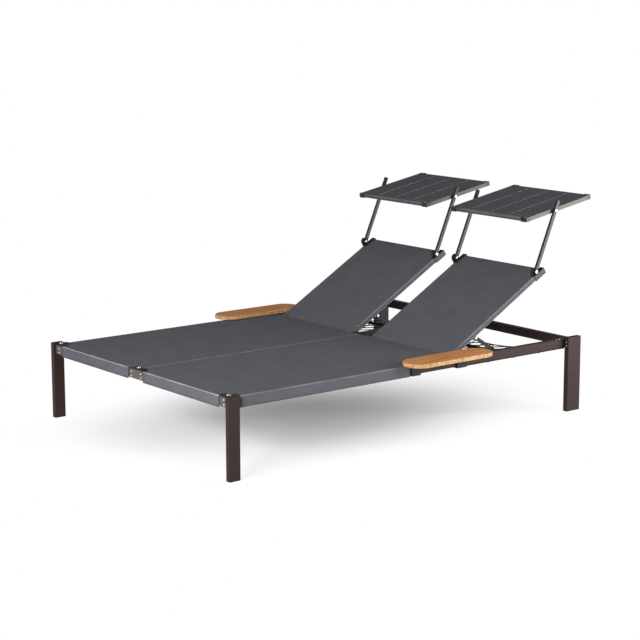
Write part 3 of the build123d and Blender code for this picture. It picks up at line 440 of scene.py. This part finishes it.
def makeSeat(side, sign):
    low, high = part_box("seat_fabric_right")
    radius = seat["edgeRadiusMm"] * mm
    arc = radius * math.pi / 2
    inner, outer = low.x, high.x
    front, rear, top = low.y, high.y, high.z
    (cornerX, cornerY), (armX, armY), (trayX, trayY) = (
        (seat[cut][0] * mm, seat[cut][1] * mm - originY)
        for cut in ("cornerCutMm", "armCutMm", "trayCutMm"))
    centreCut = seat["centreCutMm"] * mm
    rearFrom = seat["rearHemFromMm"] * mm
    uLow = -foldEnd(-inner, radius, seat["seamHemMm"] * mm)
    uHigh = foldEnd(outer, radius, seat["frontHemMm"] * mm)
    vLow = -foldEnd(-front, radius, seat["frontHemMm"] * mm)
    vHigh = foldEnd(rear, radius, seat["rearHemMm"] * mm)
    cell = {name: size * mm for name, size in seat["cellsMm"].items()}
    fold, edge = arc / foldCells, cell["edge"]
    us = gridLines(
        [uLow, inner + radius - arc, inner + radius, rearFrom, centreCut, cornerX, trayX, armX,
         outer - radius, outer - radius + arc, uHigh],
        [cell["seam"], fold, edge, edge, cell["across"], edge, edge, edge, fold, edge])
    vs = gridLines(
        [vLow, front + radius - arc, front + radius, cornerY, armY, trayY,
         rear - radius, rear - radius + arc, vHigh],
        [edge, fold, edge, edge, cell["along"], cell["along"], fold, cell["rear"]])

    def keep(u, v):
        atConnector = v < cornerY and (u < centreCut or u > cornerX)
        atConnectorArm = v < armY and u > armX
        atTray = v > trayY and u > trayX
        atCentreRail = v > rear - radius and u < rearFrom
        return not (atConnector or atConnectorArm or atTray or atCentreRail)

    def place(u, v):
        x, down = foldBoth(u, inner, outer, radius)
        y, fall = foldBoth(v, front, rear, radius)
        across = min(1.0, max(0.0, (x - inner) / (outer - inner)))
        along = min(1.0, max(0.0, (y - front) / (rear - front)))
        inMiddle = 16 * across * (1 - across) * along * (1 - along)  # 1 there, 0 at the edges
        sag = seat["sagMm"] * mm * inMiddle ** seat["sagPower"]
        # Painted highlight along the folded edges, in full at the foot and rear, weaker at the side
        # and the seam
        highlightShare = max(seat["sideHighlight"] * foldShare(u, outer, radius),
                   seat["seamHighlight"] * foldShare(-u, -inner, radius),
                   foldShare(v, rear, radius), foldShare(-v, -front, radius))
        return sign * x, y, top - down - fall - sag, highlightShare

    piece = clothGrid("seatMesh" + side, us, vs, place, keep, seat["clothMm"] * mm,
                      finishes["seat_fabric"], sign < 0)
    lower = side.lower()
    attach(piece, "frame")
    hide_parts("seat_fabric_" + lower)


for side, sign in sides.items():
    makeSeat(side, sign)
print("seats made")


# A flat loop of cloth round a frame with half round ends: w runs once round it from the
# middle of its underside. Gives the distance along the frame and out from its middle plane
def roundLoop(w, first, last, half):
    run = last - first
    arc = math.pi * half
    if w < run / 2:
        return (first + last) / 2 + w, -half
    w -= run / 2
    if w < arc:
        turn = w / half - math.pi / 2
        return last + half * math.cos(turn), half * math.sin(turn)
    w -= arc
    if w < run:
        return last - w, half
    w -= run
    if w < arc:
        turn = w / half + math.pi / 2
        return first + half * math.cos(turn), half * math.sin(turn)
    return first + w - arc, -half


bendCells = 12  # round a half round end


# Grid lines once round such a loop, with stops where its corner cut-outs begin
def loopLines(first, last, foot, head, half, cell):
    run, bend = last - first, math.pi * half
    middle = (first + last) / 2
    upper = run / 2 + bend  # where the upper side starts
    under = upper + run + bend  # and where the underside starts again
    stops = [0, head - middle, run / 2, upper, upper + last - head, upper + last - foot,
             upper + run, under, under + foot - first, 2 * run + 2 * bend]
    turn, long = bend / bendCells, cell["along"]
    return gridLines(stops, [long, cell["head"], turn, cell["head"], long,
                             cell["foot"], turn, cell["foot"], long])


# y and z of a point of a backrest or canopy, which leans back about its pivot
def tilted(unit, along, out):
    c, s = math.cos(math.radians(unit["tiltDeg"])), math.sin(math.radians(unit["tiltDeg"]))
    y, z = (size * mm for size in unit["pivotMm"])
    return y + along * c - out * s, z + along * s + out * c


# Backrest: a sleeve of the seat's mesh pulled tight over a tube frame. Its top and underside
# are turned towards each other at the sides, with a slit left between them
backrest = {
    "pivotMm": (194.402, 333.2), "tiltDeg": 30.0, "xMm": (70.5, 611.5), "lengthMm": 657.0,
    "halfMm": 12.5, "cornerWidthMm": 24.3, "footCutMm": 30.3, "headCutMm": 590.7,
    "sideRadiusMm": 6.0, "slitMm": 0.6, "clothMm": 1.5, "sideHighlight": 0.3,
    "cellsMm": {
        "side": 4.0, "corner": 10.0, "across": 14.0, "along": 16.0, "head": 16.0, "foot": 10.0},
}
# The left backrest and canopy are the right ones moved across
unitShift = {"Right": 0.0, "Left": -682.0 * mm}


def makeBackrest(side):
    half = backrest["halfMm"] * mm
    inner, outer = (x * mm for x in backrest["xMm"])
    first, last = 0.0, backrest["lengthMm"] * mm - half
    foot, head = backrest["footCutMm"] * mm, backrest["headCutMm"] * mm
    radius = backrest["sideRadiusMm"] * mm
    arc = radius * math.pi / 2
    drop = half - backrest["slitMm"] * mm / 2
    corner = backrest["cornerWidthMm"] * mm
    uLow, uHigh = -foldEnd(-inner, radius, drop), foldEnd(outer, radius, drop)
    cell = {name: size * mm for name, size in backrest["cellsMm"].items()}
    fold = arc / foldCells
    us = gridLines(
        [uLow, inner + radius - arc, inner + radius, inner + corner, outer - corner,
         outer - radius, outer - radius + arc, uHigh],
        [cell["side"], fold, cell["corner"], cell["across"], cell["corner"], fold, cell["side"]])
    vs = loopLines(first, last, foot, head, half, cell)

    def keep(u, v):
        along, out = roundLoop(v, first, last, half)
        atSide = u < inner + corner or u > outer - corner
        return not atSide or foot < along < head

    def place(u, v):
        x, down = foldBoth(u, inner, outer, radius)
        along, out = roundLoop(v, first, last, half)
        out -= math.copysign(down, out)
        y, z = tilted(backrest, along, out)
        # Painted highlight along the folds at both sides, scaled by the side share
        highlightShare = max(foldShare(u, outer, radius), foldShare(-u, -inner, radius))
        return x + unitShift[side], y, z, backrest["sideHighlight"] * highlightShare

    piece = clothGrid("backrestMesh" + side, us, vs, place, keep, backrest["clothMm"] * mm,
                      finishes["seat_fabric"], True)
    lower = side.lower()
    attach(piece, "backrest_" + lower)
    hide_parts("backrest_fabric_" + lower)


for side in sides:
    makeBackrest(side)
print("backrests made")


# Canopy: a sewn sleeve of four panels. Its top also covers the side rails
canopy = {
    "pivotMm": (831.9868, 931.9695), "tiltDeg": 10.3, "xMm": (87.0, 595.0),
    "alongMm": (-178.0, 247.0), "halfMm": 10.3, "cornerMm": (36.3, 27.3), "railMm": 10.3,
    "edgeRadiusMm": 1.8, "edgeDropMm": 2.0, "clothMm": 1.4, "panels": 4,
    "seamDipMm": 0.9, "seamDipReachMm": 1.44, "seamHalfMm": 3.2,
    "stitchMm": 7.0, "stitchPitchMm": 9.0, "threadMm": 2.2,
    # The next three set a painted highlight along the top of the rounded foot end: its strength,
    # where it lies and how far it reaches
    "footHighlight": 0.2, "footHighlightAt": 0.6, "footHighlightReach": 0.5,  # as shares of the end's half round
    "cellsMm": {
        "rail": 8.0, "corner": 14.0, "across": 16.0, "along": 20.0, "head": 16.0, "foot": 16.0},
    "edgeCells": 3, "seamCells": 8,
}


def seamPlaces():
    low, high = canopy["xMm"]
    return [(low + (high - low) * i / canopy["panels"]) * mm for i in range(1, canopy["panels"])]


def makeCanopy(side):
    half = canopy["halfMm"] * mm
    inner, outer = (x * mm for x in canopy["xMm"])
    low, high = (along * mm for along in canopy["alongMm"])
    wide, deep = (size * mm for size in canopy["cornerMm"])
    first, last = low + half, high - half
    foot, head = low + deep, high - deep
    rail = canopy["railMm"] * mm
    radius = canopy["edgeRadiusMm"] * mm
    uLow = -foldEnd(-inner, radius, canopy["edgeDropMm"] * mm)
    uHigh = foldEnd(outer, radius, canopy["edgeDropMm"] * mm)
    seamHalf = canopy["seamHalfMm"] * mm
    dipReach = canopy["seamDipReachMm"] * mm
    cell = {name: size * mm for name, size in canopy["cellsMm"].items()}
    edge = radius * math.pi / 2 / canopy["edgeCells"]
    stops = [uLow, inner + radius, inner + rail, inner + wide]
    cells = [edge, cell["rail"], cell["corner"]]
    for x in seamPlaces():
        stops += [x - seamHalf, x + seamHalf]
        cells += [cell["across"], 2 * seamHalf / canopy["seamCells"]]
    stops += [outer - wide, outer - rail, outer - radius, uHigh]
    cells += [cell["across"], cell["corner"], cell["rail"], edge]
    us = gridLines(stops, cells)
    vs = loopLines(first, last, foot, head, half, cell)

    def keep(u, v):
        along, out = roundLoop(v, first, last, half)
        if inner + wide < u < outer - wide:
            return True
        if not foot < along < head:
            return False
        return out > 0 or inner + rail < u < outer - rail

    def place(u, v):
        x, down = foldBoth(u, inner, outer, radius)
        along, out = roundLoop(v, first, last, half)
        dip = sum(math.exp(-((x - seam) / dipReach) ** 2) for seam in seamPlaces())
        out *= 1 - canopy["seamDipMm"] * mm / half * dip
        out -= math.copysign(down, out)
        y, z = tilted(canopy, along, out)
        # Painted highlight in a line along the top of the rounded foot end
        fromLine = abs((first - along) / half - canopy["footHighlightAt"]) / canopy["footHighlightReach"]
        highlightShare = canopy["footHighlight"] * max(0.0, 1 - fromLine) if out > 0 else 0.0
        return x + unitShift[side], y, z, highlightShare

    piece = clothGrid("canopyCloth" + side, us, vs, place, keep, canopy["clothMm"] * mm,
                      finishes["canopy_fabric"], True)
    lower = side.lower()
    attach(piece, "canopy_" + lower)
    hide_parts("canopy_fabric_" + lower)

    # Stitches: a row of short threads lying in each seam's dip
    pitch, length, thread = (canopy[k] * mm for k in ("stitchPitchMm", "stitchMm", "threadMm"))
    turn = Matrix.Rotation(math.radians(canopy["tiltDeg"]), 4, "X")
    size = Matrix.Diagonal((thread / 2, length / 2, thread / 2, 1))
    shape = bmesh.new()
    for x in seamPlaces():
        for i in range(int((head - foot) / pitch)):
            y, z = tilted(canopy, foot + pitch * (i + 0.5), half - canopy["seamDipMm"] * mm)
            spot = Matrix.Translation((x + unitShift[side], y, z))
            bmesh.ops.create_uvsphere(
                shape, u_segments=8, v_segments=5, radius=1.0, matrix=spot @ turn @ size)
    stitches = addShape("canopyStitches" + side, shape, finishes["sewing_thread"])
    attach(stitches, "canopy_" + lower)


for side in sides:
    makeCanopy(side)
print("canopies made")


# Storage net: elastic cord in diamonds between the rails, with a knot at every crossing. Its
# head edge hangs in a curve between the two corners
net = {
    "columns": 18, "rows": 8, "xMm": (46.0, 649.0), "footMm": 300.0, "middleMm": 748.0,
    "cornerMm": 936.0, "levelMm": 292.0, "sagMm": 5.0, "footSagShare": 0.25,
    "cordMm": 4.6, "borderCordMm": 5.6, "knotMm": 8.5, "knotShape": (0.8, 1.0, 0.7),
}


def netKnot(i, j, sign):
    low, high = net["xMm"]
    across = 2 * i / net["columns"] - 1
    head = net["middleMm"] + (net["cornerMm"] - net["middleMm"]) * across ** 2
    along = j / net["rows"]
    x = low + (high - low) * i / net["columns"]
    y = net["footMm"] + (head - net["footMm"]) * along
    slack = net["footSagShare"] + (1 - net["footSagShare"]) * along
    sag = net["sagMm"] * (1 - across ** 2) * slack
    return Vector((sign * x * mm, y * mm - originY, (net["levelMm"] - sag) * mm))


def addCord(curve, points, radius):
    spline = curve.splines.new("POLY")
    spline.points.add(len(points) - 1)
    for spot, point in zip(spline.points, points):
        spot.co = (*point, 1.0)
        spot.radius = radius


def makeNet(side, sign):
    columns, rows = net["columns"], net["rows"]
    curve = bpy.data.curves.new("storageNet" + side, "CURVE")
    curve.dimensions = "3D"
    curve.bevel_depth = net["cordMm"] * mm / 2
    curve.bevel_resolution = 2
    knots = [(i, j) for i in range(columns + 1) for j in range(rows + 1) if (i + j) % 2 == 0]
    for i, j in knots:
        for nextJ in (j - 1, j + 1):
            if i < columns and 0 <= nextJ <= rows:
                addCord(curve, [netKnot(i, j, sign), netKnot(i + 1, nextJ, sign)], 1.0)
    thick = net["borderCordMm"] / net["cordMm"]
    for j in (0, rows):
        addCord(curve, [netKnot(i, j, sign) for i in range(0, columns + 1, 2)], thick)
    for i in (0, columns):
        addCord(curve, [netKnot(i, j, sign) for j in range(0, rows + 1, 2)], thick)
    curve.materials.append(finishes["net_cord"])
    piece = addObject("storageNet" + side, curve)

    size = Matrix.Diagonal((*net["knotShape"], 1))
    shape = bmesh.new()
    for i, j in knots:
        bmesh.ops.create_icosphere(shape, subdivisions=2, radius=net["knotMm"] * mm / 2,
                                   matrix=Matrix.Translation(netKnot(i, j, sign)) @ size)
    tied = addShape("netKnots" + side, shape, finishes["net_cord"])
    for made in (piece, tied):
        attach(made, "frame")
    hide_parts("storage_net_" + side.lower())


for side, sign in sides.items():
    makeNet(side, sign)
print("nets made")


# Studio: a wide flat floor, three soft lamps and a sky like the walls and ceiling of a pale
# room, with a white band at the horizon, which metal mirrors and which stands behind the bed in
# low views. Heights in the sky run from 0 at the horizon to 1 overhead
studio = {
    "floorSize": 400.0, "floorColour": "ececec", "seenFloor": 0.95,
    "shadowMiddle": (0.08, -0.26), "shadowReach": (1.0, 1.5), "glowFrom": 0.25,
    "wall": 0.36, "ceiling": 0.12, "bandFadesAt": 0.09, "wallFrom": 0.15, "ceilingFrom": 0.8,
    "lamps": {
        "overhead": {
            "place": (0.3, 0.6, 3.6), "aim": (0.0, -0.1, 0.3), "size": (3.4, 3.4), "power": 34.0},
        "headRight": {
            "place": (2.8, 2.4, 0.95), "aim": (0.6, 0.75, 0.4), "size": (2.2, 1.3), "power": 165.0},
        "footFill": {
            "place": (1.7, -4.3, 1.7), "aim": (0.0, 0.2, 0.4), "size": (2.6, 1.6), "power": 275.0},
    },
}


# What the camera, mirrors and glass see of the floor is pale paint with the bed's shadow on it,
# which fades into plain white further out. All other light meets an even pale floor
def makeFloor():
    size = studio["floorSize"] / 2
    corners = [(-size, -size, 0), (size, -size, 0), (size, size, 0), (-size, size, 0)]
    data = bpy.data.meshes.new("floor")
    data.from_pydata(corners, [], [(0, 1, 2, 3)])
    floor = addObject("floor", data)
    material = bpy.data.materials.new("paleFloor")
    material.use_nodes = True
    tree = material.node_tree
    tree.nodes.clear()
    path = addNode(tree, "ShaderNodeLightPath")
    seen = addNode(tree, "ShaderNodeMath", {"operation": "ADD", "use_clamp": True}, {
        0: path.outputs["Is Camera Ray"], 1: path.outputs["Is Glossy Ray"]})
    seen = addNode(tree, "ShaderNodeMath", {"operation": "ADD", "use_clamp": True}, {
        0: seen.outputs[0], 1: path.outputs["Is Transmission Ray"]})
    paint = addNode(tree, "ShaderNodeBsdfDiffuse", inputs={"Color": fromHex(studio["floorColour"])})
    pale = studio["seenFloor"]
    bright = addNode(tree, "ShaderNodeBsdfDiffuse", inputs={"Color": (pale, pale, pale, 1)})
    fromMiddle = addNode(tree, "ShaderNodeMapping", {"vector_type": "TEXTURE"}, {
        "Vector": addNode(tree, "ShaderNodeTexCoord").outputs["Object"],
        "Location": (*studio["shadowMiddle"], 0), "Scale": (*studio["shadowReach"], 1)})
    away = addNode(tree, "ShaderNodeVectorMath", {"operation": "LENGTH"}, {
        0: fromMiddle.outputs[0]})
    whiter = addNode(tree, "ShaderNodeMapRange", {"interpolation_type": "SMOOTHSTEP"}, {
        "Value": away.outputs["Value"], "From Min": studio["glowFrom"], "From Max": 1.0})
    glow = addNode(tree, "ShaderNodeEmission", inputs={"Strength": 1.0})
    fade = addNode(tree, "ShaderNodeMixShader", inputs={
        0: whiter.outputs[0], 1: bright.outputs[0], 2: glow.outputs[0]})
    mix = addNode(tree, "ShaderNodeMixShader", inputs={
        0: seen.outputs[0], 1: paint.outputs[0], 2: fade.outputs[0]})
    addNode(tree, "ShaderNodeOutputMaterial", inputs={"Surface": mix.outputs[0]})
    data.materials.append(material)


def makeSky():
    world = bpy.data.worlds.new("paleStudio")
    bpy.context.scene.world = world
    world.use_nodes = True
    tree = world.node_tree
    tree.nodes.clear()
    way = addNode(tree, "ShaderNodeTexCoord").outputs["Generated"]
    height = addNode(tree, "ShaderNodeSeparateXYZ", inputs={"Vector": way})
    room = addNode(tree, "ShaderNodeMapRange", {"interpolation_type": "SMOOTHSTEP"}, {
        "Value": height.outputs["Z"], "From Min": studio["wallFrom"],
        "From Max": studio["ceilingFrom"], "To Min": studio["wall"], "To Max": studio["ceiling"]})
    band = addNode(tree, "ShaderNodeMapRange", {"interpolation_type": "SMOOTHSTEP"}, {
        "Value": height.outputs["Z"], "From Min": studio["bandFadesAt"],
        "From Max": studio["wallFrom"], "To Min": 1.0, "To Max": 0.0})
    strength = addNode(tree, "ShaderNodeMath", {"operation": "MAXIMUM"}, {
        0: band.outputs[0], 1: room.outputs[0]})
    soft = addNode(tree, "ShaderNodeBackground", inputs={
        "Color": (1, 1, 1, 1), "Strength": strength.outputs[0]})
    addNode(tree, "ShaderNodeOutputWorld", inputs={"Surface": soft.outputs[0]})


def makeLamp(name, values):
    lamp = bpy.data.lights.new(name, "AREA")
    lamp.shape = "RECTANGLE"
    lamp.size, lamp.size_y = values["size"]
    lamp.energy = values["power"]
    holder = addObject(name, lamp)
    holder.location = values["place"]
    way = Vector(values["aim"]) - Vector(values["place"])
    holder.rotation_euler = way.to_track_quat("-Z", "Y").to_euler()


makeFloor()
makeSky()
for name, values in studio["lamps"].items():
    makeLamp(name, values)

# Camera: from the foot end on the right, a little above, with a long lens
view = {
    "place": (6.4673, -5.1591, 2.0224), "pitchDeg": 10.9, "rollDeg": 0.07, "yawDeg": 51.76,
    "lens": 102.72, "sensor": 36.0, "reach": 1000.0,
}
lens = bpy.data.cameras.new("camera")
lens.lens = view["lens"]
lens.sensor_width = view["sensor"]
lens.clip_end = view["reach"]  # past the far end of the floor
camera = addObject("camera", lens)
camera.location = view["place"]
turns = (90 - view["pitchDeg"], view["rollDeg"], view["yawDeg"])
camera.rotation_euler = [math.radians(turn) for turn in turns]
bpy.context.scene.camera = camera
bpy.context.scene.view_settings.view_transform = "Standard"
print("studio made")
